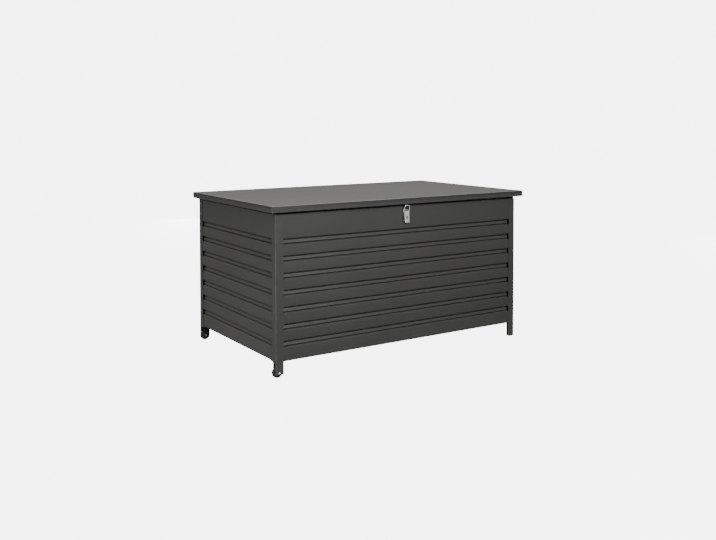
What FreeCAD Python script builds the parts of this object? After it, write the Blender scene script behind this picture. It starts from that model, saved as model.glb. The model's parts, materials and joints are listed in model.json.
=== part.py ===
import FreeCAD, Part
import math
import os
import re
import Sketcher

# Outdoor storage box: a sheet metal chest on four corner legs, with two wheels at its left end,
# a flat lid on a rear piano hinge, two gas struts, a toggle latch and a drop handle.
# Millimetres. X runs along the length, Y from front to rear, Z up. The origin lies on the ground,
# under the middle of the whole box.

os.makedirs("parts", exist_ok=True)
doc = FreeCAD.newDocument("StorageBox")

# Driving sizes
sizes = {
    # Whole box
    "body_width": 1500,
    "body_depth": 904,
    "wall_height": 696,
    "leg_height": 78,
    # Corner posts
    "post_leg": 40,
    "post_wall": 3,
    "post_bend": 4,
    "wheel_post_end": 18,
    "wheel_notch_top": 72,
    "wheel_notch_start": 12,
    "wheel_notch_corner": 5,
    "foot_post_end": 3,
    # Grooved panels
    "panel_sheet": 1,
    "panel_inset": 20,
    "panel_return": 15,
    "groove_count": 7,
    "groove_pitch": 81,
    "groove_first": 96.5,
    "groove_depth": 11,
    "groove_lip": 6,
    "groove_floor": 19,
    "groove_ramp": 8,
    "groove_end_gap": 5,
    "side_groove_start": 28,
    # Frame rails and floor
    "rail_size": 25,
    "rail_wall": 1.5,
    "floor_sheet": 1.2,
    "floor_gap": 1,
    "bearer_width": 40,
    "bearer_spacing": 500,
    # Feet and wheels
    "foot_side": 26,
    "wheel_radius": 25,
    "wheel_width": 18,
    "wheel_inset": 17,
    "wheel_setback": 13.5,
    "tyre_thickness": 7,
    "tyre_edge": 2,
    "tyre_lip": 1.5,
    "rim_edge": 3,
    "hub_dish": 4,
    "boss_wall": 4,
    "boss_proud": 1,
    "wheel_side_gap": 1.5,
    "axle_radius": 3,
    "axle_head_radius": 6,
    "axle_head_height": 3.6,
    "axle_head_rim": 1.6,
    "axle_head_crown": 2.8,
    "axle_spare": 1,
    "nut_radius": 5.75,
    "nut_height": 5,
    "running_play": 0.05,
    "bracket_sheet": 2.5,
    "bracket_end": 12,
    "bracket_width": 37,
    "bracket_foot": 30,
    # Lid
    "lid_gap": 13,
    "lid_height": 31,
    "lid_sheet": 1.2,
    "lid_side_overhang": 35,
    "lid_front_overhang": 31,
    "lid_rear_overhang": 5,
    "lid_return": 73,
    "lid_bend": 6,
    "stiffener_width": 60,
    "stiffener_depth": 24,
    "stiffener_brim": 14,
    "stiffener_sheet": 1,
    "stiffener_spacing": 400,
    "seal_width": 10,
    "seal_inset": 8,
    "seal_rear_inset": 18,
    "seal_clearance": 0.3,
    "seal_chamfer": 3,
    # Piano hinge
    "hinge_offset": 10.5,
    "barrel_radius": 6.3,
    "hinge_pin_radius": 3.5,
    "leaf_sheet": 2,
    "leaf_reach": 24.5,
    "knuckle_count": 24,
    "knuckle_gap": 0.5,
    "hinge_end": 5,
    # Rivets
    "rivet_radius": 2,
    "rivet_head_radius": 3.8,
    "rivet_head_height": 1.3,
    # Toggle latch
    "latch_base_width": 36,
    "latch_base_height": 76,
    "latch_base_drop": 84,
    "latch_sheet": 1.5,
    "latch_pivot_out": 12,
    "latch_pivot_drop": 17,
    "latch_eye": 4.6,
    "ear_root_low": 3,
    "ear_root_high": 2,
    "latch_pin_radius": 2,
    "latch_pin_proud": 0.5,
    "ear_half_span": 11.7,
    "side_play": 0.3,
    "lever_width": 27,
    "lever_length": 66,
    "lever_web_out": 3,
    "lever_web_top": 6,
    "lever_cheek": 8,
    "lever_lip": 4,
    "lever_curl": 8,
    "lever_taper": 26,
    "slot_width": 8,
    "slot_length": 17,
    "slot_drop": 42.5,
    "bail_wire": 4,
    "bail_setback": 5,
    "bail_drop": 12,
    "bail_foot_half": 17.6,
    "bail_top_half": 13,
    "bail_straight": 15,
    "bail_rise": 33,
    "bail_lean": 11,
    "bail_bend": 4,
    "catch_width": 14,
    "catch_foot_width": 18,
    "catch_edge": 0.8,
    "catch_sheet": 2,
    "catch_hook": 5,
    "catch_foot": 14,
    "backing_width": 60,
    "backing_height": 60,
    "backing_drop": 2,
    "latch_rivet_side": 9,
    "latch_rivet_low": 9,
    "latch_rivet_high": 47,
    # Gas struts
    "strut_setback": 120,
    "strut_lid_drop": 24,
    "strut_row": 4,
    "strut_plane": 42,
    "strut_tube_radius": 9,
    "strut_tube_wall": 1.3,
    "strut_tube_length": 190,
    "strut_rod_radius": 4,
    "tube_guide": 8,
    "tube_end": 3,
    "piston_gap": 2,
    "socket_radius": 8,
    "socket_width": 13,
    "socket_neck": 17,
    "stud_radius": 4,
    "stud_flange_radius": 7,
    "stud_flange": 3,
    "stud_step": 1,
    "stud_tail": 1.5,
    "strut_plate": 2,
    "strut_plate_width": 40,
    "strut_lid_flange": 20,
    "strut_lid_edge": 12,
    "strut_bracket_height": 30,
    "strut_bracket_brim": 7,
    # Drop handle
    "handle_plate_sheet": 2,
    "handle_plate_length": 170,
    "handle_plate_height": 44,
    "handle_height": 60,
    "handle_rod": 8,
    "handle_half_span": 62,
    "handle_drop": 46,
    "handle_bend": 12,
    "handle_out": 11,
    "handle_eye": 7,
    "handle_eye_width": 10,
    "handle_eye_gap": 2,
    "handle_rise": 11,
    "handle_rivet_spacing": 22,
    "handle_end_play": 1,
}

# Places worked out from the driving sizes
places = {
    "half_width": "body_width / 2",
    "body_top": "leg_height + wall_height",
    "rear_reach": "hinge_offset + barrel_radius",
    "front_face": "(lid_front_overhang - body_depth - rear_reach) / 2",
    "rear_face": "front_face + body_depth",
    "middle_y": "front_face + body_depth / 2",
    "panel_front": "front_face + post_wall",
    "groove_height": "groove_lip + groove_floor + groove_ramp",
    "panel_inner": "post_wall + panel_sheet",
    "rail_inner": "panel_inner + rail_size",
    "rail_low": "leg_height + panel_sheet",
    "floor_low": "rail_low + rail_size",
    "floor_edge": "post_wall + groove_depth + panel_sheet + floor_gap",
    "lid_bottom": "body_top + lid_gap",
    "lid_top": "lid_bottom + lid_height",
    "lid_half_width": "half_width + lid_side_overhang",
    "lid_front": "front_face - lid_front_overhang",
    "lid_rear": "rear_face + lid_rear_overhang",
    "hinge_y": "rear_face + hinge_offset",
    "hinge_z": "body_top + lid_gap / 2",
    "hinge_half": "half_width - hinge_end",
    "knuckle_pitch": "2 * hinge_half / knuckle_count",
    "knuckle_length": "knuckle_pitch - knuckle_gap",
    "leaf_front": "barrel_radius + knuckle_gap",
    "axle_x": "wheel_inset - half_width",
    "axle_length": "post_wall + wheel_setback + wheel_width + wheel_side_gap + bracket_sheet",
    "boss_reach": "wheel_setback - wheel_side_gap + boss_proud",
    "latch_y": "panel_front - latch_pivot_out",
    "latch_z": "body_top - latch_pivot_drop",
    "latch_low": "body_top - latch_base_drop",
    "strut_y": "hinge_y - strut_setback",
    "strut_top": "hinge_z - strut_lid_drop",
    "strut_foot": "leg_height + groove_first + strut_row * groove_pitch + (groove_pitch - groove_height) / 2",
    "strut_face": "half_width - strut_plane",
    "handle_x": "half_width - post_wall + handle_plate_sheet + handle_out",
    "handle_z": "body_top - handle_height + handle_rise",
}

dims = doc.addObject("Spreadsheet::Sheet", "Dims")
for line, (alias, value) in enumerate(sizes.items(), 1):
    dims.set("A%d" % line, alias)
    dims.set("B%d" % line, str(value))
    dims.setAlias("B%d" % line, alias)
doc.recompute()

pieces = {}


def bound(text):
    """Write an expression on the sheet's cells from plain size and place names."""
    def word(match):
        name = match.group(0)
        if name in places:
            return "(" + bound(places[name]) + ")"
        if name in sizes:
            return "Dims." + name
        return name
    return re.sub(r"[a-z_]+", word, str(text))


def number(text):
    return float(dims.evalExpression(bound(text)))


def seat(piece, at, turn=0, axis=(0, 0, 1)):
    """Place a piece, with its position bound to the sheet."""
    spin = FreeCAD.Rotation(FreeCAD.Vector(*axis), turn)
    piece.Placement = FreeCAD.Placement(FreeCAD.Vector(*[number(t) for t in at]), spin)
    for letter, text in zip("xyz", at):
        piece.setExpression("Placement.Base." + letter, bound(text))


def keep(name, piece):
    piece.Label = name
    pieces[name] = piece
    return piece


def new_body(name, at=("0", "0", "0"), turn=0, axis=(0, 0, 1)):
    body = doc.addObject("PartDesign::Body", name)
    seat(body, at, turn, axis)
    return body


def plane_of(body, role):
    return [p for p in body.Origin.OriginFeatures if p.Role == role][0]


def sketch_on(body, role, outlines=(), circles=()):
    """Closed outlines of corner expressions, and circles of centre and radius expressions."""
    sketch = body.newObject("Sketcher::SketchObject", body.Name + "Sketch")
    sketch.AttachmentSupport = [(plane_of(body, role), "")]
    sketch.MapMode = "FlatFace"

    def fix(kind, geometry, point, text):
        index = sketch.addConstraint(
            Sketcher.Constraint(kind, -1, 1, geometry, point, number(text)))
        sketch.setExpression("Constraints[%d]" % index, bound(text))

    for outline in outlines:
        first = sketch.GeometryCount
        corners = [FreeCAD.Vector(number(a), number(b), 0) for a, b in outline]
        count = len(corners)
        for i in range(count):
            sketch.addGeometry(Part.LineSegment(corners[i], corners[(i + 1) % count]), False)
        for i in range(count):
            after = first + (i + 1) % count
            sketch.addConstraint(Sketcher.Constraint("Coincident", first + i, 2, after, 1))
        for i, (a, b) in enumerate(outline):
            fix("DistanceX", first + i, 1, a)
            fix("DistanceY", first + i, 1, b)
    for a, b, radius in circles:
        centre = FreeCAD.Vector(number(a), number(b), 0)
        circle = Part.Circle(centre, FreeCAD.Vector(0, 0, 1), number(radius))
        index = sketch.addGeometry(circle, False)
        fix("DistanceX", index, 3, a)
        fix("DistanceY", index, 3, b)
        size = sketch.addConstraint(Sketcher.Constraint("Radius", index, number(radius)))
        sketch.setExpression("Constraints[%d]" % size, bound(radius))
    return sketch


def rectangle(x_low, y_low, x_high, y_high):
    return [(x_low, y_low), (x_high, y_low), (x_high, y_high), (x_low, y_high)]


def lift_sketch(sketch, height):
    lift = FreeCAD.Vector(0, 0, number(height))
    sketch.AttachmentOffset = FreeCAD.Placement(lift, FreeCAD.Rotation())
    sketch.setExpression("AttachmentOffset.Base.z", bound(height))


def pad(body, role, length, outlines=(), circles=(), centred=False, back=False, start=None):
    feature = body.newObject("PartDesign::Pad", body.Name + "Pad")
    feature.Profile = sketch_on(body, role, outlines, circles)
    feature.Midplane = centred
    feature.Reversed = back
    feature.setExpression("Length", bound(length))
    if start is not None:
        lift_sketch(feature.Profile[0], start)
    doc.recompute()
    return feature


def cut_through(body, role, outlines=(), circles=()):
    """Cut outlines right through a body, both ways from the plane."""
    before = body.Shape.Volume
    feature = body.newObject("PartDesign::Pocket", body.Name + "Cut")
    feature.Profile = sketch_on(body, role, outlines, circles)
    feature.Midplane = True
    feature.Type = "ThroughAll"
    doc.recompute()
    if body.Shape.Volume >= before:
        raise ValueError(body.Label + ": the cut removed nothing")
    return feature


def repeat(body, features, role, count, length):
    """Repeat features along the normal of one of the body's planes."""
    pattern = body.newObject("PartDesign::LinearPattern", body.Name + "Pattern")
    pattern.Originals = features
    pattern.Direction = (plane_of(body, role), [""])
    pattern.setExpression("Occurrences", bound(count))
    pattern.setExpression("Length", bound(length))
    body.Tip = pattern
    doc.recompute()
    return pattern


def mirror(body, features, role):
    feature = body.newObject("PartDesign::Mirrored", body.Name + "Mirror")
    feature.Originals = features
    feature.MirrorPlane = (plane_of(body, role), [""])
    body.Tip = feature
    doc.recompute()
    return feature


def round_edges(body, radius, wanted):
    """Round the edges whose middle and direction pass a test, in the body's own frame."""
    tip = body.Tip
    shape = tip.Shape
    names = []
    for i, edge in enumerate(shape.Edges, 1):
        if isinstance(edge.Curve, Part.Line) and wanted(edge.CenterOfMass, edge.Curve.Direction):
            names.append("Edge%d" % i)
    fillet = body.newObject("PartDesign::Fillet", body.Name + "Round")
    fillet.Base = (tip, names)
    fillet.setExpression("Radius", bound(radius))
    doc.recompute()
    return fillet


def spin_on(body, profile):
    """Spin radius and height corners about the body's own Z axis."""
    spin = body.newObject("PartDesign::Revolution", body.Name + "Spin")
    spin.Profile = sketch_on(body, "XZ_Plane", [profile])
    spin.ReferenceAxis = (spin.Profile[0], ["V_Axis"])
    spin.Angle = 360
    doc.recompute()


def turned(name, profile, at, turn=0, axis=(0, 0, 1)):
    body = new_body(name, at, turn, axis)
    spin_on(body, profile)
    return body


def cylinder(name, radius, height, at, turn=0, axis=(0, 0, 1)):
    solid = doc.addObject("Part::Cylinder", name)
    solid.setExpression("Radius", bound(radius))
    solid.setExpression("Height", bound(height))
    seat(solid, at, turn, axis)
    return solid


def cone(name, low_radius, high_radius, height, at, turn=0, axis=(0, 0, 1)):
    solid = doc.addObject("Part::Cone", name)
    solid.setExpression("Radius1", bound(low_radius))
    solid.setExpression("Radius2", bound(high_radius))
    solid.setExpression("Height", bound(height))
    seat(solid, at, turn, axis)
    return solid


# A head stands on the face that it presses on, pointing this way
facing = {
    "up": (0, (1, 0, 0), (0, 0, 1)),
    "down": (180, (1, 0, 0), (0, 0, -1)),
    "front": (90, (1, 0, 0), (0, -1, 0)),
    "rear": (-90, (1, 0, 0), (0, 1, 0)),
    "left": (-90, (0, 1, 0), (-1, 0, 0)),
    "right": (90, (0, 1, 0), (1, 0, 0)),
}


def rivet(name, at, way, grip):
    """One dome headed rivet: a head on the face at the given point, a shank through the grip."""
    turn, axis, out = facing[way]
    sunk = ["%s - (%s) * (%d)" % (a, grip, o) for a, o in zip(at, out)]
    head = cone(name + "Head", "rivet_head_radius", "rivet_head_radius * 0.6",
                "rivet_head_height", at, turn, axis)
    shank = cylinder(name + "Shank", "rivet_radius", grip, sunk, turn, axis)
    whole = doc.addObject("Part::Fuse", name)
    whole.Base = head
    whole.Tool = shank
    return whole


def group(name, solids):
    whole = doc.addObject("Part::Compound", name)
    whole.Links = solids
    return keep(name, whole)


def bent_rod(corners, bends, radius):
    """A round rod along straight runs joined by tangent arcs, one bend to a corner."""
    points = [FreeCAD.Vector(*c) for c in corners]
    edges = []
    start = points[0]
    for bend, before, here, after in zip(bends, points, points[1:], points[2:]):
        back = (before - here).normalize()
        on = (after - here).normalize()
        half_turn = (math.pi - back.getAngle(on)) / 2
        reach = bend * math.tan(half_turn)
        first = here + back * reach
        last = here + on * reach
        inward = (back + on).normalize()
        middle = here + inward * (bend / math.cos(half_turn) - bend)
        edges.append(Part.LineSegment(start, first).toShape())
        edges.append(Part.Arc(first, middle, last).toShape())
        start = last
    edges.append(Part.LineSegment(start, points[-1]).toShape())
    path = Part.Wire(edges)
    section = Part.Wire([Part.Circle(points[0], points[1] - points[0], radius).toShape()])
    return path.makePipeShell([section], True, False)


# Corner posts: equal angles with an outer bend. The left pair is cut away for the wheels.
def corner_post(name, across, along, end):
    x_in = "-(%d)" % across
    y_in = "-(%d)" % along
    at = ("%d * half_width" % across, "front_face" if along < 0 else "rear_face", end)
    body = new_body(name, at)
    corners = [("0", "0"), (x_in + " * post_leg", "0"),
               (x_in + " * post_leg", y_in + " * post_wall"),
               (x_in + " * post_wall", y_in + " * post_wall"),
               (x_in + " * post_wall", y_in + " * post_leg"), ("0", y_in + " * post_leg")]
    pad(body, "XY_Plane", "body_top - (%s)" % end, [corners])
    round_edges(body, "post_bend",
                lambda c, d: abs(d.z) > 0.9 and abs(c.x) < 0.01 and abs(c.y) < 0.01)
    return body


for side, across in (("left", -1), ("right", 1)):
    for place, along in (("front", -1), ("rear", 1)):
        end = "wheel_post_end" if side == "left" else "foot_post_end"
        post = corner_post("corner_post_%s_%s" % (place, side), across, along, end)
        if side == "left":
            y_in = "-(%d)" % along
            high = "wheel_notch_top - wheel_post_end"
            cut_through(post, "YZ_Plane", [rectangle(y_in + " * wheel_notch_start", "-1",
                                                     y_in + " * (post_leg + 1)", high)])
            notch_y, notch_z = number(y_in + " * wheel_notch_start"), number(high)
            round_edges(post, "wheel_notch_corner",
                        lambda c, d: abs(c.y - notch_y) < 0.01 and abs(c.z - notch_z) < 0.01)
        keep(post.Name, post)


# Grooved panels: one sheet, folded in at the bottom, with rolled grooves that stop short of the
# posts, where the sheet is notched so that its flats lie behind the posts' flanges.
def grooved_panel(name, width, at, turn, starts=("post_leg + groove_end_gap",) * 2):
    body = new_body(name, at, turn)
    outer = [("panel_return", "0"), ("0", "0")]
    inner = [("panel_return", "panel_sheet"), ("panel_sheet", "panel_sheet")]
    for row in range(int(sizes["groove_count"])):
        top = "groove_first + %d * groove_pitch" % row
        bottom = top + " - groove_height"
        floor_low = bottom + " + groove_ramp"
        floor_high = top + " - groove_lip"
        outer += [("0", bottom), ("groove_depth", floor_low),
                  ("groove_depth", floor_high), ("0", top)]
        inner += [("panel_sheet", bottom), ("groove_depth + panel_sheet", floor_low),
                  ("groove_depth + panel_sheet", floor_high), ("panel_sheet", top)]
    outer.append(("0", "wall_height"))
    inner.append(("panel_sheet", "wall_height"))
    pad(body, "YZ_Plane", width, [outer + inner[::-1]], centred=True)
    # The notch spans the groove's opening and half a sheet above and below it.
    low = "groove_first - groove_height - panel_sheet / 2"
    high = "groove_first + panel_sheet / 2"
    end = "(%s) / 2" % width
    left_start, right_start = ["%s - (%s - panel_inset)" % (end, start) for start in starts]
    notches = cut_through(body, "XZ_Plane", [
        rectangle(right_start, low, end + " + 1", high),
        rectangle("-(%s) - 1" % end, low, "-(%s)" % left_start, high)])
    repeat(body, [notches], "XY_Plane", "groove_count", "groove_pitch * (groove_count - 1)")
    return keep(name, body)


long_panel = "body_width - 2 * panel_inset"
short_panel = "body_depth - 2 * panel_inset"
side_face = "half_width - post_wall"
front_panel = grooved_panel("front_panel", long_panel, ("0", "panel_front", "leg_height"), 0)
grooved_panel("rear_panel", long_panel, ("0", "rear_face - post_wall", "leg_height"), 180)
side_starts = ("side_groove_start", "post_leg + groove_end_gap")
grooved_panel("left_panel", short_panel, ("-(%s)" % side_face, "middle_y", "leg_height"), -90,
              side_starts[::-1])
right_panel = grooved_panel("right_panel", short_panel, (side_face, "middle_y", "leg_height"), 90,
                            side_starts)


# Frame rails: square tube rings behind the panels' top and bottom edges
def rail(name, length, height, at, turn=0, width="rail_size"):
    body = new_body(name, at, turn)
    outer = rectangle("0", "0", width, height)
    inner = rectangle("rail_wall", "rail_wall", width + " - rail_wall", height + " - rail_wall")
    pad(body, "YZ_Plane", length, [outer, inner], centred=True)
    return keep(name, body)


short_rail = "body_depth - 2 * rail_inner"
rails = {}
for level, low in (("top", "body_top - rail_size"), ("bottom", "rail_low")):
    rails[level, "front"] = rail(
        level + "_rail_front", long_panel, "rail_size", ("0", "front_face + panel_inner", low))
    rails[level, "rear"] = rail(
        level + "_rail_rear", long_panel, "rail_size", ("0", "rear_face - panel_inner", low), 180)
    for side, across, turn in (("left", -1, -90), ("right", 1, 90)):
        at = ("%d * (half_width - panel_inner)" % across, "middle_y", low)
        rails[level, side] = rail("%s_rail_%s" % (level, side), short_rail, "rail_size", at, turn)

# Floor: one sheet on the bottom rails and two bearers
for index, step in enumerate((-0.5, 0.5), 1):
    at = ("%g * bearer_spacing + bearer_width / 2" % step, "middle_y", "rail_low")
    rail("floor_bearer_%d" % index, short_rail, "rail_size", at, 90, "bearer_width")

floor = new_body("floor_panel", ("0", "0", "floor_low"))
pad(floor, "XY_Plane", "floor_sheet", [rectangle(
    "floor_edge - half_width", "front_face + floor_edge",
    "half_width - floor_edge", "rear_face - floor_edge")])
keep("floor_panel", floor)

# Feet: square blocks in the right legs' inner corners, a little prouder than the angle's end
for place, along in (("front", -1), ("rear", 1)):
    x_high = "half_width - post_wall"
    if along < 0:
        y_low, y_high = "front_face + post_wall", "front_face + post_wall + foot_side"
    else:
        y_low, y_high = "rear_face - post_wall - foot_side", "rear_face - post_wall"
    foot = new_body("foot_block_" + place)
    pad(foot, "XY_Plane", "leg_height",
        [rectangle(x_high + " - foot_side", y_low, x_high, y_high)])
    keep(foot.Name, foot)

# Wheels: a rubber tyre on a plastic hub, on a bolt through the leg and an inner bracket. The hub's
# boss is longer towards the leg, which sets the wheel back behind the leg's outer strip.
hub_outer = "wheel_radius - tyre_thickness"
bolt_end = "axle_length + nut_height + axle_spare"
bolts = []
nuts = []
for place, along in (("front", -1), ("rear", 1)):
    face = "front_face" if along < 0 else "rear_face"
    inward = "(%d)" % -along
    turn = 90 if along < 0 else -90

    def at_depth(depth):
        return ("axle_x", "%s + %s * (%s)" % (face, inward, depth), "wheel_radius")

    wheel_near = at_depth("post_wall + wheel_setback + wheel_width")
    tyre_half = [(hub_outer, "rim_edge"), (hub_outer + " - tyre_lip", "rim_edge"),
                 (hub_outer + " - tyre_lip", "0"), ("wheel_radius - tyre_edge", "0"),
                 ("wheel_radius", "tyre_edge")]
    near_hub, far_hub = [[
        ("axle_radius + running_play", "-" + proud), ("axle_radius + boss_wall", "-" + proud),
        ("axle_radius + boss_wall", "hub_dish"), (hub_outer + " - hub_dish", "hub_dish"),
        (hub_outer, "rim_edge")] for proud in ("boss_proud", "boss_reach")]
    for piece_name, near, far in (("wheel_%s_tyre" % place, tyre_half, tyre_half),
                                  ("wheel_%s_hub" % place, near_hub, far_hub)):
        far_half = [(r, "wheel_width - (%s)" % h) for r, h in far[::-1]]
        keep(piece_name, turned(piece_name, near + far_half, wheel_near, turn, (1, 0, 0)))
    # Bolt: a domed head outside the leg, with the shank running inward past the bracket
    bolts.append(turned("AxleBolt" + place, [
        ("0", "-(%s)" % bolt_end), ("axle_radius", "-(%s)" % bolt_end),
        ("axle_radius", "0"), ("axle_head_radius", "0"), ("axle_head_radius", "axle_head_rim"),
        ("(axle_head_radius + axle_head_crown) / 2", "(axle_head_rim + axle_head_height) / 2"),
        ("axle_head_crown", "axle_head_height"), ("0", "axle_head_height")],
        at_depth("0"), turn, (1, 0, 0)))
    nut = doc.addObject("Part::Prism", "AxleNut" + place)
    nut.Polygon = 6
    nut.setExpression("Circumradius", bound("nut_radius"))
    nut.setExpression("Height", bound("nut_height"))
    seat(nut, at_depth("axle_length + nut_height"), turn, (1, 0, 0))
    bore = cylinder("AxleNutBore" + place, "axle_radius + running_play", "nut_height + 2",
                    at_depth("axle_length + nut_height + 1"), turn, (1, 0, 0))
    ring = doc.addObject("Part::Cut", "AxleNutRing" + place)
    ring.Base = nut
    ring.Tool = bore
    nuts.append(ring)
    # Bracket: a plate inside the wheel, folded under the side panel's bottom edge
    bracket = new_body("wheel_bracket_" + place, (
        "-(half_width - post_wall)", "%s + %s * (axle_length - bracket_sheet)" % (face, inward), "0"))
    fold = [("0", "bracket_end"), ("(%s) * bracket_sheet" % inward, "bracket_end"),
            ("(%s) * bracket_sheet" % inward, "leg_height - bracket_sheet"),
            ("(%s) * bracket_foot" % inward, "leg_height - bracket_sheet"),
            ("(%s) * bracket_foot" % inward, "leg_height"), ("0", "leg_height")]
    pad(bracket, "YZ_Plane", "bracket_width", [fold])
    cut_through(bracket, "XZ_Plane", circles=[
        ("wheel_inset - post_wall", "wheel_radius", "axle_radius + running_play")])
    keep(bracket.Name, bracket)
    post = pieces["corner_post_%s_left" % place]
    cut_through(post, "XZ_Plane", circles=[
        ("wheel_inset", "wheel_radius - wheel_post_end", "axle_radius + running_play")])
group("axle_bolts", bolts)
group("axle_nuts", nuts)

# Lid: a folded tray, open below, with its edges returned inward
lid = new_body("lid_skin", ("0", "(lid_front + lid_rear) / 2", "lid_bottom"))
half_depth = "(lid_rear - lid_front) / 2"
tray = rectangle("-lid_half_width", "-(%s)" % half_depth, "lid_half_width", half_depth)
pad(lid, "XY_Plane", "lid_height", [tray])
hollow = lid.newObject("PartDesign::Pocket", "LidHollow")
hollow.Profile = sketch_on(lid, "XY_Plane", [rectangle(
    "lid_sheet - lid_half_width", "lid_sheet - (%s)" % half_depth,
    "lid_half_width - lid_sheet", "%s - lid_sheet" % half_depth)])
hollow.Reversed = True
hollow.setExpression("Length", bound("lid_height - lid_sheet"))
doc.recompute()
top_height = number("lid_height")
roof = top_height - number("lid_sheet")
round_edges(lid, "lid_bend - lid_sheet", lambda c, d: abs(c.z - roof) < 0.01)
round_edges(lid, "lid_bend", lambda c, d: abs(c.z - top_height) < 0.01)
pad(lid, "XY_Plane", "lid_sheet", [tray, rectangle(
    "lid_return - lid_half_width", "lid_return - (%s)" % half_depth,
    "lid_half_width - lid_return", "%s - lid_return" % half_depth)])
keep("lid_skin", lid)

# Lid stiffeners: top hat channels under the skin, from front to rear
stiffener_length = "lid_rear - lid_front - 2 * lid_sheet - 2 * (lid_bend - lid_sheet)"
crown = "stiffener_width / 2 - stiffener_brim"
brim_low = "stiffener_depth - stiffener_sheet"
for index, step in enumerate((-1, 0, 1), 1):
    hat = new_body("lid_stiffener_%d" % index, (
        "%d * stiffener_spacing" % step, "(lid_front + lid_rear) / 2",
        "lid_top - lid_sheet - stiffener_depth"))
    half_hat = [(crown, "0"), (crown, brim_low), ("stiffener_width / 2", brim_low),
                ("stiffener_width / 2", "stiffener_depth"),
                (crown + " - stiffener_sheet", "stiffener_depth"),
                (crown + " - stiffener_sheet", "stiffener_sheet")]
    other_half = [("-(%s)" % a, b) for a, b in half_hat[::-1]]
    pad(hat, "XZ_Plane", stiffener_length, [half_hat + other_half], centred=True)
    keep(hat.Name, hat)

# Lid seal: four round topped strips on the top rails
seal_top = "lid_gap - seal_clearance"
shoulder = "lid_gap - seal_clearance - seal_chamfer"
strips = []
side_start = "(seal_inset + seal_width)"
side_length = "body_depth - %s - seal_rear_inset - seal_width" % side_start
side_middle = "front_face + %s + (%s) / 2" % (side_start, side_length)
for name, length, at, turn in (
        ("Front", "body_width - 2 * seal_inset", ("0", "front_face + seal_inset", "body_top"), 0),
        ("Rear", "body_width - 2 * seal_inset", ("0", "rear_face - seal_rear_inset", "body_top"), 180),
        ("Left", side_length, ("seal_inset - half_width", side_middle, "body_top"), -90),
        ("Right", side_length, ("half_width - seal_inset", side_middle, "body_top"), 90)):
    strip = new_body("Seal" + name, at, turn)
    pad(strip, "YZ_Plane", length, [[
        ("0", "0"), ("seal_width", "0"), ("seal_width", shoulder),
        ("seal_width - seal_chamfer", seal_top), ("seal_chamfer", seal_top), ("0", shoulder)]],
        centred=True)
    strips.append(strip)
group("lid_seal", strips)


# Piano hinge: two leaves with alternate knuckles on one long pin
def hinge_leaf(name, low, high, first):
    body = new_body(name, ("-hinge_half", "hinge_y", "hinge_z"))
    pad(body, "YZ_Plane", "2 * hinge_half", [rectangle("-leaf_reach", low, "-leaf_front", high)])
    outer = "-barrel_radius" if number(low) < 0 else "barrel_radius"
    inner = high if number(low) < 0 else low
    start = "%d * knuckle_pitch + knuckle_gap / 2" % first
    tongue = pad(body, "YZ_Plane", "knuckle_length",
                 [rectangle("-leaf_front", outer, "0", inner)], start=start)
    barrel = pad(body, "YZ_Plane", "knuckle_length",
                 circles=[("0", "0", "barrel_radius")], start=start)
    repeat(body, [tongue, barrel], "YZ_Plane", "knuckle_count / 2",
           "knuckle_pitch * (knuckle_count - 2)")
    cut_through(body, "YZ_Plane", circles=[("0", "0", "hinge_pin_radius + running_play")])
    return keep(name, body)


body_leaf = hinge_leaf("hinge_leaf_body", "-lid_gap / 2", "leaf_sheet - lid_gap / 2", 0)
lid_leaf = hinge_leaf("hinge_leaf_lid", "lid_gap / 2 - leaf_sheet", "lid_gap / 2", 1)
keep("hinge_pin", cylinder("hinge_pin", "hinge_pin_radius", "2 * hinge_half",
                           ("-hinge_half", "hinge_y", "hinge_z"), 90, (0, 1, 0)))

# Hinge rivets: one to every second knuckle, through each leaf and what carries it
rivet_line = "rivet_head_radius - leaf_reach"
rivet_hole = "rivet_radius + running_play"
body_rivets = []
lid_rivets = []
leaf_holes = []
rail_holes = []
lid_holes = []
for index in range(int(sizes["knuckle_count"]) // 2):
    along = "(%d + 0.5) * 2 * knuckle_pitch" % index
    x = along + " - hinge_half"
    y = "hinge_y + " + rivet_line
    body_rivets.append(rivet("BodyRivet%d" % index, (x, y, "body_top + leaf_sheet"), "up",
                             "leaf_sheet + rail_wall"))
    lid_rivets.append(rivet("LidRivet%d" % index, (x, y, "lid_bottom - leaf_sheet"), "down",
                            "leaf_sheet + lid_sheet"))
    leaf_holes.append((along, rivet_line, rivet_hole))
    rail_holes.append((along + " - hinge_half", "-(hinge_offset + %s) - panel_inner" % rivet_line,
                       rivet_hole))
    lid_holes.append((x, "%s - (lid_front + lid_rear) / 2" % y, rivet_hole))
cut_through(body_leaf, "XY_Plane", circles=leaf_holes)
cut_through(lid_leaf, "XY_Plane", circles=leaf_holes)
group("hinge_rivets_body", body_rivets)
group("hinge_rivets_lid", lid_rivets)


def drill_up(body, low, depth, circles):
    """Drill holes upward from a height on the body's own Z axis."""
    before = body.Shape.Volume
    feature = body.newObject("PartDesign::Pocket", body.Name + "Drill")
    feature.Profile = sketch_on(body, "XY_Plane", circles=circles)
    lift_sketch(feature.Profile[0], low)
    feature.Reversed = True
    feature.setExpression("Length", bound(depth))
    doc.recompute()
    if body.Shape.Volume >= before:
        raise ValueError(body.Label + ": the drill removed nothing")


drill_up(rails["top", "rear"], "rail_size - 2 * rail_wall", "2 * rail_wall", rail_holes)

# Toggle latch: base plate with two ears, lever on a pin, wire bail and a catch under the lid
base = new_body("latch_base", ("0", "panel_front", "latch_low"))
pad(base, "XZ_Plane", "latch_sheet",
    [rectangle("-latch_base_width / 2", "0", "latch_base_width / 2", "latch_base_height")])
pivot_up = "latch_base_drop - latch_pivot_drop"
flat = "latch_eye * 0.4"


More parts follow.
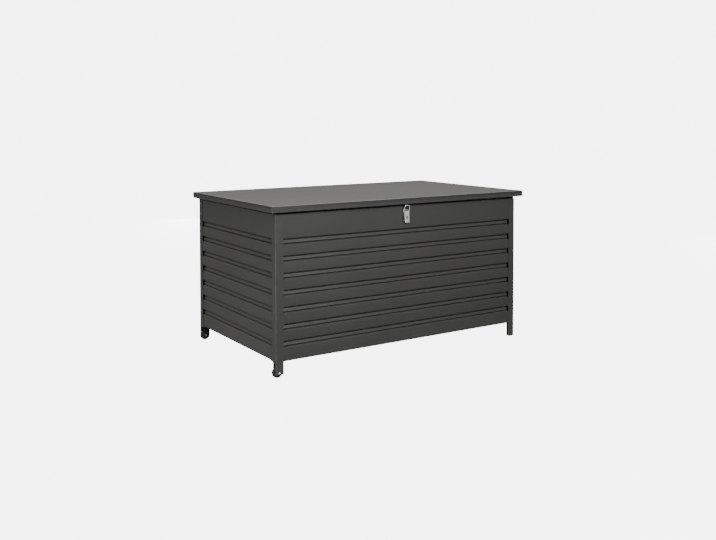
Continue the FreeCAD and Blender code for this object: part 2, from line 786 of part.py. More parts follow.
def eye_corners(out, up):
    """The corners of a lug's rounded end, as an octagon's free sides about its pin."""
    signs = ((1, 1, "y"), (-1, 1, "y"), (-1, 1, "x"), (-1, -1, "x"), (-1, -1, "y"), (1, -1, "y"))
    corners = []
    for a, b, long in signs:
        across = "latch_eye" if long == "x" else flat
        along = flat if long == "x" else "latch_eye"
        corners.append(("%s + (%d) * %s" % (out, a, across), "%s + (%d) * %s" % (up, b, along)))
    return corners


ear = [("0", pivot_up + " - latch_eye - ear_root_low"), ("0", pivot_up + " + latch_eye + ear_root_high")]
ear += eye_corners("-latch_pivot_out", pivot_up)
ears = pad(base, "YZ_Plane", "latch_sheet", [ear], start="ear_half_span - latch_sheet")
mirror(base, [ears], "YZ_Plane")
cut_through(base, "YZ_Plane", circles=[
    ("-latch_pivot_out", pivot_up, "latch_pin_radius + running_play")])
keep("latch_base", base)

lever = new_body("latch_lever", ("0", "latch_y", "latch_z"))
curl_start = "-(lever_length - lever_curl)"
web = [("-lever_web_out", "-lever_web_top"), ("-lever_web_out + latch_sheet", "-lever_web_top"),
       ("-lever_web_out + latch_sheet", curl_start),
       ("-lever_web_out + latch_sheet - lever_lip", "-lever_length"),
       ("-lever_web_out - lever_lip", "-lever_length"), ("-lever_web_out", curl_start)]
pad(lever, "YZ_Plane", "lever_width", [web], centred=True)
cheek = [("-lever_web_out", "-lever_web_top"), ("-lever_web_out", curl_start), ("0", curl_start),
         ("lever_cheek", "-lever_taper"), ("lever_cheek", "-(bail_drop - bail_wire)"),
         ("latch_eye", "-" + flat), ("latch_eye", flat), (flat, "latch_eye"),
         ("-" + flat, "latch_eye"), ("-latch_eye", flat), ("-latch_eye", "-" + flat)]
cheek_start = "ear_half_span + side_play"
cheeks = pad(lever, "YZ_Plane", "lever_width / 2 - (%s)" % cheek_start, [cheek], start=cheek_start)
mirror(lever, [cheeks], "YZ_Plane")
cut_through(lever, "YZ_Plane", circles=[
    ("0", "0", "latch_pin_radius + running_play"),
    ("bail_setback", "-bail_drop", "bail_wire / 2 + running_play")])
slot_side = "(slot_length - slot_width) / 2"
slot_corners = (("slot_width / 2", slot_side), ("slot_width / 4", "slot_length / 2"))
slot = [(x, "-slot_drop + " + z) for x, z in slot_corners]
slot += [("-" + x, "-slot_drop + " + z) for x, z in slot_corners[::-1]]
slot += [("-" + x, "-slot_drop - " + z) for x, z in slot_corners]
slot += [(x, "-slot_drop - " + z) for x, z in slot_corners[::-1]]
cut_through(lever, "XZ_Plane", [slot])
keep("latch_lever", lever)

keep("latch_pin", cylinder("latch_pin", "latch_pin_radius", "lever_width + 2 * latch_pin_proud", (
    "-lever_width / 2 - latch_pin_proud", "latch_y", "latch_z"), 90, (0, 1, 0)))

# The bail leans out from its feet in the lever's cheeks to a top bar beside the catch's nose.
bail_run = math.hypot(number("bail_rise"), number("bail_lean"))
up = FreeCAD.Vector(0, -number("bail_lean") / bail_run, number("bail_rise") / bail_run)
foot = FreeCAD.Vector()
right_half = [
    (number("ear_half_span + 2 * running_play"), foot),
    (number("bail_foot_half"), foot),
    (number("bail_foot_half"), up * number("bail_straight")),
    (number("bail_top_half"), up * bail_run),
]
bail_path = [(x, v.y, v.z) for x, v in right_half]
bail_path += [(-x, y, z) for x, y, z in bail_path[::-1]]
bail = doc.addObject("Part::Feature", "latch_bail")
bail_bends = [number("bail_bend")] * (len(bail_path) - 2)
bail.Shape = bent_rod(bail_path, bail_bends, number("bail_wire / 2"))
seat(bail, ("0", "latch_y + bail_setback", "latch_z - bail_drop"))
keep("latch_bail", bail)

# Catch: a folded hook under the lid's front return, its nose just behind the bail's bar
bar_y = "latch_y + bail_setback - bail_lean"
bar_z = "latch_z - bail_drop + bail_rise"
nose_y = bar_y + " + bail_wire / 2 + side_play"
catch = new_body("latch_catch", ("0", nose_y, "lid_bottom"))
hook_low = "%s - lid_bottom - bail_wire" % bar_z
hook = [("0", hook_low), ("0", hook_low + " + bail_wire"),
        ("catch_sheet", hook_low + " + bail_wire"), ("catch_sheet", hook_low + " + catch_sheet"),
        ("catch_hook", hook_low + " + catch_sheet"), ("catch_hook", "0"),
        ("catch_hook + catch_sheet", "0"), ("catch_hook + catch_sheet", hook_low)]
pad(catch, "YZ_Plane", "catch_width", [hook], centred=True)
pad(catch, "YZ_Plane", "catch_foot_width",
    [rectangle("catch_hook", "-catch_sheet", "catch_hook + catch_foot", "0")], centred=True)
catch_rivet_x = "(catch_foot_width / 2 - rivet_head_radius - catch_edge)"
catch_rivet_y = "catch_hook + (catch_foot + catch_sheet) / 2"
cut_through(catch, "XY_Plane", circles=[
    ("-" + catch_rivet_x, catch_rivet_y, rivet_hole), (catch_rivet_x, catch_rivet_y, rivet_hole)])
keep("latch_catch", catch)
catch_rivets = []
for index, side in enumerate((-1, 1)):
    at = ("%d * %s" % (side, catch_rivet_x), "%s + %s" % (nose_y, catch_rivet_y),
          "lid_bottom - catch_sheet")
    catch_rivets.append(rivet("CatchRivet%d" % index, at, "down", "catch_sheet + lid_sheet"))
    lid_holes.append((at[0], "%s - (lid_front + lid_rear) / 2" % at[1], rivet_hole))
group("catch_rivets", catch_rivets)
drill_up(lid, "-lid_sheet", "3 * lid_sheet", lid_holes)

# Backing plate inside the front panel, and the rivets that hold the latch to it
backing = new_body("latch_backing_plate", ("0", "front_face + panel_inner + latch_sheet", "latch_low"))
pad(backing, "XZ_Plane", "latch_sheet", [
    rectangle("-backing_width / 2", "-backing_drop", "backing_width / 2",
              "backing_height - backing_drop")])
latch_rivets = []
latch_holes = []
latch_spots = [(s, z) for z in ("latch_rivet_low", "latch_rivet_high") for s in (-1, 1)]
for index, (side, z) in enumerate(latch_spots):
    x = "(%d) * latch_rivet_side" % side
    at = (x, "panel_front - latch_sheet", "latch_low + " + z)
    latch_rivets.append(rivet("LatchRivet%d" % index, at, "front", "2 * latch_sheet + panel_sheet"))
    latch_holes.append((x, z, rivet_hole))
group("latch_rivets", latch_rivets)
cut_through(base, "XZ_Plane", circles=latch_holes)
cut_through(backing, "XZ_Plane", circles=latch_holes)
keep("latch_backing_plate", backing)
cut_through(front_panel, "XZ_Plane",
            circles=[(x, "latch_low - leg_height + " + z, r) for x, z, r in latch_holes])

# Gas struts: upright inside each end when the lid is shut
eye_middle = "stud_flange + side_play + socket_width / 2"
strut_length = "strut_top - strut_foot"
tube_bore = "strut_tube_radius - strut_tube_wall"
tube_mouth = "socket_neck + strut_tube_length"
stud_neck = "stud_radius - stud_step"
foot_studs = []
for side, across in (("left", -1), ("right", 1)):
    outward = "(%d)" % across
    face_x = outward + " * strut_face"
    eye_at = ("%s - %s * (%s)" % (face_x, outward, eye_middle), "strut_y", "strut_foot")

    # Foot bracket: a top hat channel on the end panel's plain strip
    foot_bracket = new_body("strut_foot_bracket_" + side, (face_x, "strut_y", "strut_foot"))
    depth = "strut_plane - panel_inner"
    wall = depth + " - strut_plate"
    half = "strut_bracket_height / 2"
    upper_half = [("0", half), (wall, half), (wall, half + " + strut_bracket_brim"),
                  (depth, half + " + strut_bracket_brim"), (depth, half + " - strut_plate"),
                  ("strut_plate", half + " - strut_plate")]
    lower_half = [(a, "-(%s)" % b) for a, b in upper_half[::-1]]
    channel = [("%s * (%s)" % (outward, a), b) for a, b in upper_half + lower_half]
    pad(foot_bracket, "XZ_Plane", "strut_plate_width", [channel], centred=True)
    cut_through(foot_bracket, "YZ_Plane", circles=[("0", "0", stud_neck + " + running_play")])
    keep(foot_bracket.Name, foot_bracket)

    # Foot stud: peened through the bracket, with a flange and a pin for the tube's eye
    foot_studs.append(turned("FootStud" + side, [
        ("0", "-strut_plate - stud_tail"), ("stud_radius + stud_step", "-strut_plate - stud_tail"),
        ("stud_radius + stud_step", "-strut_plate"), (stud_neck, "-strut_plate"), (stud_neck, "0"),
        ("stud_flange_radius", "0"), ("stud_flange_radius", "stud_flange"),
        ("stud_radius", "stud_flange"), ("stud_radius", "stud_flange + 2 * side_play + socket_width"),
        ("0", "stud_flange + 2 * side_play + socket_width")],
        (face_x, "strut_y", "strut_foot"), -90 * across, (0, 1, 0)))

    # Tube: an eye on the foot stud, a neck, and a hollow cylinder with a guide at its mouth
    tube = new_body("strut_tube_" + side, eye_at)
    pad(tube, "YZ_Plane", "socket_width", circles=[("0", "0", "socket_radius")], centred=True)
    spin_on(tube, [
        ("0", "0"), ("stud_radius", "0"), ("stud_radius", "socket_neck"),
        ("strut_tube_radius", "socket_neck"), ("strut_tube_radius", tube_mouth),
        ("strut_rod_radius + 2 * running_play", tube_mouth),
        ("strut_rod_radius + 2 * running_play", tube_mouth + " - tube_guide"),
        (tube_bore, tube_mouth + " - tube_guide"), (tube_bore, "socket_neck + tube_end"),
        ("0", "socket_neck + tube_end")])
    cut_through(tube, "YZ_Plane", circles=[("0", "0", "stud_radius + running_play")])
    keep(tube.Name, tube)

    # Rod: a piston in the tube, and a top eye with a stud that stops short of the lid's bracket
    rod = new_body("strut_rod_" + side, eye_at)
    piston_low = "socket_neck + tube_end + piston_gap"
    spin_on(rod, [
        ("0", piston_low), (tube_bore + " - 2 * running_play", piston_low),
        (tube_bore + " - 2 * running_play", piston_low + " + tube_guide"),
        ("strut_rod_radius", piston_low + " + tube_guide"),
        ("strut_rod_radius", strut_length), ("0", strut_length)])
    pad(rod, "YZ_Plane", "socket_width",
        circles=[("0", strut_length, "socket_radius")], centred=True)
    pad(rod, "YZ_Plane", "%s - side_play" % eye_middle,
        circles=[("0", strut_length, "stud_radius")], back=across < 0)
    pad(rod, "YZ_Plane", "stud_flange - side_play",
        circles=[("0", strut_length, "stud_flange_radius")], back=across < 0,
        start="%s * (socket_width / 2 + side_play)" % outward)
    keep(rod.Name, rod)

    # Lid bracket: an angle under the lid's side return, its plate beside the top stud
    lid_bracket = new_body("strut_lid_bracket_" + side, (face_x, "strut_y", "lid_bottom"))
    plate_low = "strut_top - lid_bottom - strut_lid_edge"
    angle = [("0", "0"), ("0", plate_low), ("strut_plate", plate_low),
             ("strut_plate", "-strut_plate"), ("strut_lid_flange", "-strut_plate"),
             ("strut_lid_flange", "0")]
    pad(lid_bracket, "XZ_Plane", "strut_plate_width",
        [[("%s * (%s)" % (outward, a), b) for a, b in angle]], centred=True)
    keep(lid_bracket.Name, lid_bracket)
group("strut_foot_studs", foot_studs)

# Drop handle on the right end: a riveted plate with two eyes, and a bent rod that swings in them
plate = new_body("handle_plate", (side_face, "middle_y", "handle_z"))
pad(plate, "YZ_Plane", "handle_plate_sheet", [rectangle(
    "-handle_plate_length / 2", "handle_rise - handle_plate_height",
    "handle_plate_length / 2", "handle_rise")])
pivot_x = "handle_plate_sheet + handle_out"
eye_start = "handle_half_span - handle_rod / 2 - handle_eye_gap - handle_eye_width"
blocks = [
    pad(plate, "XZ_Plane", "handle_eye_width",
        [rectangle("handle_plate_sheet / 2", "-handle_eye", pivot_x, "handle_eye")], start=eye_start),
    pad(plate, "XZ_Plane", "handle_eye_width", circles=[(pivot_x, "0", "handle_eye")],
        start=eye_start)]
mirror(plate, blocks, "XZ_Plane")
cut_through(plate, "XZ_Plane", circles=[(pivot_x, "0", "handle_rod / 2 + running_play")])
keep("handle_plate", plate)
half_span = number("handle_half_span")
handle_end = number(eye_start + " + handle_end_play")
drop = -number("handle_drop")
handle_path = [(0, handle_end, 0), (0, half_span, 0), (0, half_span, drop),
               (0, -half_span, drop), (0, -half_span, 0), (0, -handle_end, 0)]
eye_bend = number("handle_rod / 2 + handle_end_play")
handle_bends = [eye_bend, number("handle_bend"), number("handle_bend"), eye_bend]
bail_rod = doc.addObject("Part::Feature", "handle_bail")
bail_rod.Shape = bent_rod(handle_path, handle_bends, number("handle_rod / 2"))
seat(bail_rod, ("handle_x", "middle_y", "handle_z"))
keep("handle_bail", bail_rod)
handle_rivets = []
handle_holes = []
for index, (side, lift) in enumerate(((-1, -1), (-1, 1), (1, -1), (1, 1))):
    y = "(%d) * (handle_plate_length / 2 - 2 * rivet_head_radius)" % side
    z = "handle_rise - (handle_plate_height + (%d) * handle_rivet_spacing) / 2" % lift
    at = (side_face + " + handle_plate_sheet", "middle_y + " + y, "handle_z + " + z)
    handle_rivets.append(rivet("HandleRivet%d" % index, at, "right",
                               "handle_plate_sheet + panel_sheet"))
    handle_holes.append((y, z, rivet_hole))
group("handle_rivets", handle_rivets)
cut_through(plate, "YZ_Plane", circles=handle_holes)
cut_through(right_panel, "XZ_Plane",
            circles=[(y, "handle_z - leg_height + " + z, r) for y, z, r in handle_holes])

for name, piece in pieces.items():
    if "Invalid" in piece.State or "Error" in piece.State:
        raise ValueError(name + " failed")
    if piece.Shape.isNull() or not piece.Shape.isValid():
        raise ValueError(name + " has no valid shape")
    piece.Shape.exportStep("parts/%s.step" % name)
print(len(pieces), "pieces")
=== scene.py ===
import json
import math
import bmesh
import bpy
from mathutils import Matrix, Vector


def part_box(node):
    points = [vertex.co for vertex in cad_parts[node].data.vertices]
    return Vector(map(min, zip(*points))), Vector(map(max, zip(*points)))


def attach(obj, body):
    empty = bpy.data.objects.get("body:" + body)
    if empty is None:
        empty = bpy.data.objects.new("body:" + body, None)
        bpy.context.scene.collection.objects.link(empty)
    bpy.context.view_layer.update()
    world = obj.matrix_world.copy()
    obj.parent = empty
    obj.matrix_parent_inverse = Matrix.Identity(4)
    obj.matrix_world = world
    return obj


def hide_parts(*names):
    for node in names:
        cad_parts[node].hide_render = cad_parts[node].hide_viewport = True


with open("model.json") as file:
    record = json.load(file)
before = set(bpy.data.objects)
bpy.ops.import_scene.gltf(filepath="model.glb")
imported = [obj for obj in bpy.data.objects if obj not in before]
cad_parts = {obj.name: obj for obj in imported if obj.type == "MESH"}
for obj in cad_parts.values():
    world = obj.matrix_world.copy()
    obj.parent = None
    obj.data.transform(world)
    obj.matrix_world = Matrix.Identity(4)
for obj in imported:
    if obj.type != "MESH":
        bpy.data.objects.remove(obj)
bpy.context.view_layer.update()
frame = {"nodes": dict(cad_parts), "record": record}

nodeBody = {n: b for b, names in frame["record"]["behaviour"]["bodies"].items() for n in names}
nodeSlot = {s["node"]: s["material_slot"] for s in frame["record"]["subparts"]}
print("frame loaded:", len(frame["nodes"]), "nodes")


# Node trees: sums on sockets are written as Python expressions

class Wire:
    def __init__(self, tree, socket):
        self.tree = tree
        self.socket = socket

    def calc(self, kind, other=None, swapped=False):
        values = [self] if other is None else [other, self] if swapped else [self, other]
        return self.tree.add("ShaderNodeMath", {"operation": kind}, dict(enumerate(values)))

    def __add__(self, other):
        return self.calc("ADD", other)

    def __radd__(self, other):
        return self.calc("ADD", other, True)

    def __sub__(self, other):
        return self.calc("SUBTRACT", other)

    def __rsub__(self, other):
        return self.calc("SUBTRACT", other, True)

    def __mul__(self, other):
        return self.calc("MULTIPLY", other)

    def __rmul__(self, other):
        return self.calc("MULTIPLY", other, True)

    def __truediv__(self, other):
        return self.calc("DIVIDE", other)

    def __rtruediv__(self, other):
        return self.calc("DIVIDE", other, True)

    def __neg__(self):
        return self.calc("MULTIPLY", -1)

    def __mod__(self, other):
        return self.calc("FLOORED_MODULO", other)

    def __rmod__(self, other):
        return self.calc("FLOORED_MODULO", other, True)

    def __lt__(self, other):
        return self.calc("LESS_THAN", other)

    def __gt__(self, other):
        return self.calc("GREATER_THAN", other)


class Tree:
    def __init__(self, nodeTree):
        self.nodes = nodeTree.nodes
        self.links = nodeTree.links
        self.nodes.clear()

    def add(self, kind, settings=None, values=None, out=0):
        node = self.nodes.new(kind)
        for name, value in (settings or {}).items():
            setattr(node, name, value)
        for name, value in (values or {}).items():
            if isinstance(value, Wire):
                self.links.new(value.socket, node.inputs[name])
            else:
                node.inputs[name].default_value = value
        self.last = node
        return Wire(self, node.outputs[out]) if len(node.outputs) else None

    def also(self, out):
        return Wire(self, self.last.outputs[out])


def startGroup(name, made, numbers, counts, coat):
    # A geometry node group with named inputs: numbers, counts and a material
    group = bpy.data.node_groups.new(name, "GeometryNodeTree")
    group.interface.new_socket(made, in_out="OUTPUT", socket_type="NodeSocketGeometry")
    for kind, labels in (("Float", numbers), ("Int", counts), ("Material", [coat])):
        for label in labels:
            group.interface.new_socket(label, in_out="INPUT", socket_type="NodeSocket" + kind)
    tree = Tree(group)
    tree.add("NodeGroupInput")
    return group, tree, {s.name: Wire(tree, s) for s in tree.last.outputs if s.name}


def endGroup(tree, made, coat):
    made = tree.add("GeometryNodeRealizeInstances", values={"Geometry": made})
    made = tree.add("GeometryNodeSetMaterial", values={"Geometry": made, "Material": coat})
    tree.add("NodeGroupOutput", values={0: made})


def fill(modifier, group, values):
    modifier.node_group = group
    for item in group.interface.items_tree:
        if item.in_out == "INPUT" and item.name in values:
            modifier[item.identifier] = values[item.name]


def isAt(count, place):
    # Whole numbers that sockets work out are compared to within a half
    return (count > place - 0.5) * (count < place + 0.5)


# Materials

def surface(name, shared, make):
    material = bpy.data.materials.new(name)
    material.use_nodes = True
    tree = Tree(material.node_tree)
    varied = make(tree, tree.add("ShaderNodeTexCoord", out="Object"))
    shader = tree.add("ShaderNodeBsdfPrincipled", values={**shared, **varied})
    tree.add("ShaderNodeOutputMaterial", values={"Surface": shader})
    return material


def noise(tree, place, scale, detail=2.0, roughness=0.5, stretch=None):
    if stretch:
        place = tree.add("ShaderNodeVectorMath", {"operation": "MULTIPLY"}, {0: place, 1: stretch})
    return tree.add("ShaderNodeTexNoise", values={
        "Vector": place, "Scale": scale, "Detail": detail, "Roughness": roughness})


def blended(tree, share, low, high):
    tree.add("ShaderNodeMix", {"data_type": "RGBA"}, {0: share, 6: low, 7: high})
    return tree.also(2)


def bumped(tree, height, distance):
    return tree.add("ShaderNodeBump", values={"Height": height, "Distance": distance})


def shaded(colour, factor):
    return [min(1, part * factor) for part in colour] + [1]


def powderCoat(name, colour, settings):
    def make(tree, place):
        cloud = noise(tree, place, settings["cloudScale"], 3.0)
        grain = noise(tree, place, settings["grainScale"], 2.0)
        peel = noise(tree, place, settings["peelScale"], 1.0)
        tree.add("ShaderNodeSeparateXYZ", values={0: place})
        height = tree.also(2)
        dust = tree.add("ShaderNodeMapRange", values={
            0: height, 1: settings["dustTop"], 2: 0.0, 3: 0.0, 4: settings["dust"]})
        share = (cloud - 0.5) * settings["cloud"] + (grain - 0.5) * settings["grain"] + 0.5
        coat = blended(tree, share, shaded(colour, settings["dark"]), shaded(colour, settings["light"]))
        coat = blended(tree, dust * cloud, coat, settings["dustColour"])
        # Painted shade: the coat is darkened towards black in the creases and under the lips of the grooves
        # and along the top of the lid's skirt, where a stored attribute marks it
        tree.add("ShaderNodeAttribute", {"attribute_name": "recess"})
        coat = blended(tree, tree.also(2) * settings["primer"], coat, settings["primerColour"])
        # and is handled pale along the edges of the lid
        # Painted highlight: the coat is lightened along the top edges and roll of the lid, and the lid's
        # skirt is painted paler towards its bottom, where a stored attribute marks it
        tree.add("ShaderNodeAttribute", {"attribute_name": "ridge"})
        coat = blended(tree, tree.also(2) * settings["handled"], coat, settings["handledColour"])
        dull = (cloud - 0.5) * settings["cloudDull"] + (grain - 0.5) * settings["grainDull"]
        return {"Base Color": coat,
                "Roughness": settings["roughness"] + dull,
                "Normal": bumped(tree, peel + grain * settings["peelGrain"], settings["peel"])}
    return surface(name, {"IOR": 1.5, "Specular IOR Level": settings["specular"]}, make)


def bareMetal(name, colour, roughness, settings):
    def make(tree, place):
        streak = noise(tree, place, settings["streakScale"], 3.0, stretch=settings["stretch"])
        spot = noise(tree, place, settings["spotScale"], 4.0)
        share = (streak - 0.5) * settings["streak"] + (spot - 0.5) * settings["spot"] + 0.5
        metal = blended(tree, share, shaded(colour, settings["dark"]), shaded(colour, settings["light"]))
        dull = (streak - 0.5) * settings["streakDull"] + (spot - 0.5) * settings["spotDull"]
        return {"Base Color": metal,
                "Roughness": roughness + dull,
                "Normal": bumped(tree, streak, settings["relief"])}
    return surface(name, {"Metallic": settings["metallic"]}, make)


def mouldedSkin(name, colour, settings):
    def make(tree, place):
        grain = noise(tree, place, settings["grainScale"], 3.0)
        wear = noise(tree, place, settings["wearScale"], 4.0, 0.6)
        share = (wear - 0.5) * settings["wear"] + (grain - 0.5) * settings["grain"] + 0.5
        skin = blended(tree, share, shaded(colour, settings["dark"]), shaded(colour, settings["light"]))
        return {"Base Color": skin,
                "Roughness": settings["roughness"] + (wear - 0.5) * settings["wearDull"],
                "Normal": bumped(tree, grain, settings["relief"])}
    return surface(name, {"IOR": 1.5, "Specular IOR Level": settings["specular"]}, make)


coatSettings = {
    "cloudScale": 3.2, "cloud": 0.25, "cloudDull": 0.14,
    "grainScale": 620.0, "grain": 0.55, "grainDull": 0.10,
    "peelScale": 480.0, "peel": 0.00012, "peelGrain": 0.35,
    "dark": 0.72, "light": 1.28, "roughness": 0.42, "specular": 0.3,
    "dust": 0.10, "dustTop": 0.16, "dustColour": (0.30, 0.29, 0.27, 1),
    "primer": 0.85, "primerColour": (0.004, 0.004, 0.004, 1),
    "handled": 0.30, "handledColour": (0.30, 0.30, 0.30, 1)}
coatColour = (0.0485, 0.0485, 0.0482)
bareSettings = {
    "streakScale": 90.0, "streak": 0.6, "streakDull": 0.22, "stretch": (1.0, 1.0, 0.06),
    "spotScale": 220.0, "spot": 0.3, "spotDull": 0.12,
    "dark": 0.78, "light": 1.2, "metallic": 0.6, "relief": 0.00002}
turnedSettings = {**bareSettings, "metallic": 0.8, "stretch": (1.0, 0.3, 1.0), "streak": 0.5, "spot": 0.6}
skinSettings = {
    "grainScale": 700.0, "grain": 0.4, "wearScale": 38.0, "wear": 0.9, "wearDull": 0.2,
    "dark": 0.7, "light": 1.5, "roughness": 0.72, "relief": 0.00015, "specular": 0.4}

slotMaterial = {
    "painted_steel_body": powderCoat("anthraciteCoat", coatColour, coatSettings),
    "painted_steel_floor": powderCoat("anthraciteFloorCoat", coatColour, {**coatSettings, "cloud": 0.5}),
    "painted_steel_lid": powderCoat("anthraciteLidCoat", coatColour, {**coatSettings, "dust": 0.0}),
    "painted_steel_black": powderCoat("blackBracketCoat", (0.012, 0.012, 0.013), coatSettings),
    "hinge_steel": powderCoat("anthraciteHingeCoat", coatColour, coatSettings),
    "strut_tube_black": powderCoat("strutTubeEnamel", (0.008, 0.008, 0.009), {
        **coatSettings, "roughness": 0.22, "grain": 0.2, "peel": 0.00002}),
    "black_rubber": mouldedSkin("blackRubber", (0.016, 0.016, 0.016), skinSettings),
    "seal_rubber": mouldedSkin("sealRubber", (0.006, 0.006, 0.006), {
        **skinSettings, "roughness": 0.85, "grainScale": 900.0, "relief": 0.0001, "specular": 0.2}),
    "black_plastic": mouldedSkin("hubPlastic", (0.022, 0.022, 0.024), {
        **skinSettings, "roughness": 0.5, "grainScale": 1200.0, "relief": 0.00008}),
    "zinc_steel": bareMetal("zincPlate", (0.62, 0.63, 0.65), 0.34, turnedSettings),
    "latch_steel": bareMetal("satinStainless", (0.90, 0.87, 0.85), 0.34, bareSettings),
    "handle_steel": bareMetal("satinHandle", (0.60, 0.60, 0.59), 0.33, bareSettings),
    "strut_rod_chrome": bareMetal("hardChrome", (0.72, 0.73, 0.75), 0.12, {
        **turnedSettings, "streak": 0.15, "spot": 0.1, "relief": 0.000002}),
}
print("materials made:", len(slotMaterial))


# Finishing: steps that the pieces share

def settled(obj):
    graph = bpy.context.evaluated_depsgraph_get()
    mesh = bpy.data.meshes.new_from_object(obj.evaluated_get(graph), depsgraph=graph)
    obj.modifiers.clear()
    obj.data = mesh
    return obj


def smooth(obj, angle=32):
    obj.data.shade_smooth()
    obj.data.set_sharp_from_angle(angle=math.radians(angle))


def flattened(obj):
    # Broad faces keep their own normals, and the narrow eased edges turn between them
    even = obj.modifiers.new("Even", "WEIGHTED_NORMAL")
    even.keep_sharp = True
    even.weight = 100
    return settled(obj)


def turnUp(obj):
    # An open sheet is turned so that its top face looks up
    if max(obj.data.polygons, key=lambda face: face.center.z).normal.z < 0:
        obj.data.flip_normals()


def outward(obj):
    shape = bmesh.new()
    shape.from_mesh(obj.data)
    bmesh.ops.recalc_face_normals(shape, faces=shape.faces)
    shape.to_mesh(obj.data)
    shape.free()


def declare(obj, slotName, body, *nodes):
    obj.data.materials.clear()
    obj.data.materials.append(slotMaterial[slotName])
    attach(obj, body)
    if nodes:
        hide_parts(*nodes)
    return obj


def newObject(name, data):
    obj = bpy.data.objects.new(name, data)
    bpy.context.scene.collection.objects.link(obj)
    return obj


def newMesh(name, build):
    shape = bmesh.new()
    build(shape)
    bmesh.ops.recalc_face_normals(shape, faces=shape.faces)
    mesh = bpy.data.meshes.new(name)
    shape.to_mesh(mesh)
    shape.free()
    return newObject(name, mesh)


easeSettings = {"usual": 0.0003, "weld": 0.000004, "flat": 0.6, "sharp": 30, "segments": 2}


def eased(node, name, width):
    # The CAD solid with its folded and cut edges eased, as coating and deburring leave them
    obj = newObject(name, frame["nodes"][node].data.copy())
    shape = bmesh.new()
    shape.from_mesh(obj.data)
    bmesh.ops.remove_doubles(shape, verts=shape.verts, dist=easeSettings["weld"])
    bmesh.ops.dissolve_limit(shape, angle_limit=math.radians(easeSettings["flat"]),
                             verts=shape.verts, edges=shape.edges)
    shape.to_mesh(obj.data)
    shape.free()
    if "custom_normal" in obj.data.attributes:
        obj.data.attributes.remove(obj.data.attributes["custom_normal"])
    smooth(obj)
    if width:
        bevel = obj.modifiers.new("Ease", "BEVEL")
        bevel.width = width
        bevel.segments = easeSettings["segments"]
        bevel.limit_method = "ANGLE"
        bevel.angle_limit = math.radians(easeSettings["sharp"])
        bevel.use_clamp_overlap = True
    flattened(obj)
    return declare(obj, nodeSlot[node], nodeBody[node], node)


# Camera: fitted to the photograph's edges and grooves

cameraSettings = {"place": (-2.6477, -4.0682, 1.2385), "yaw": 0.5766, "tilt": 0.0410,
                  "roll": -0.0013, "lens": 44.156, "sensor": 36.0, "rise": -0.1659}


def addCamera(settings):
    camera = newObject("photoCamera", bpy.data.cameras.new("photoCamera"))
    camera.data.lens = settings["lens"]
    camera.data.sensor_width = settings["sensor"]
    camera.data.shift_y = settings["rise"]
    yaw, tilt = settings["yaw"], settings["tilt"]
    ahead = Vector((math.sin(yaw) * math.cos(tilt), math.cos(yaw) * math.cos(tilt), -math.sin(tilt)))
    right = Vector((math.cos(yaw), -math.sin(yaw), 0))
    up = right.cross(ahead)
    turned = Matrix((right, up, -ahead)).transposed()
    camera.matrix_world = Matrix.Translation(settings["place"]) @ (
        turned @ Matrix.Rotation(settings["roll"], 3, "Z")).to_4x4()
    bpy.context.scene.camera = camera


addCamera(cameraSettings)

# Studio: pale floor, a far white surround and soft panels

studioSettings = {
    "floorSide": 80.0, "floorDrop": 0.0005, "surroundRadius": 38.0, "surroundHeight": 20.0,
    "surroundSides": 48, "tone": 0.06, "glow": 6.0, "roughness": 0.9, "specular": 0.1,
    "patchScale": 0.8, "patchTint": (0.99, 0.99, 0.985),
    "skyLow": 0.07, "skyHigh": 0.40, "skyBand": 0.25, "skyTint": (1.0, 0.975, 0.92, 1),
    "lamps": [  # name, place, aim, width, height, power
        ("lampKey", (-0.8, -3.1, 1.8), (-0.1, -0.4, 0.5), 2.2, 1.3, 126),
        ("lampAbove", (0.2, 0.7, 4.4), (0, 0, 0.6), 4.2, 3.2, 325),
        ("lampLeft", (-2.8, 0.1, 0.08), (-0.75, -0.1, 0.1), 1.4, 0.3, 52),
        ("lampRight", (5.5, 0.4, 0.32), (0.75, 0.0, 0.32), 2.0, 0.6, 160),
        ("lampRear", (2.0, 5.6, 0.32), (0.0, 0.45, 0.32), 2.0, 0.6, 160)]}


def paleSurface(name, settings):
    def make(tree, place):
        patch = noise(tree, place, settings["patchScale"], 2.0)
        low = shaded(settings["patchTint"], settings["tone"])
        return {"Base Color": blended(tree, patch, low, shaded((1, 1, 1), settings["tone"]))}
    return surface(name, {
        "Roughness": settings["roughness"], "Specular IOR Level": settings["specular"],
        "Emission Color": (1, 1, 1, 1), "Emission Strength": settings["glow"]}, make)


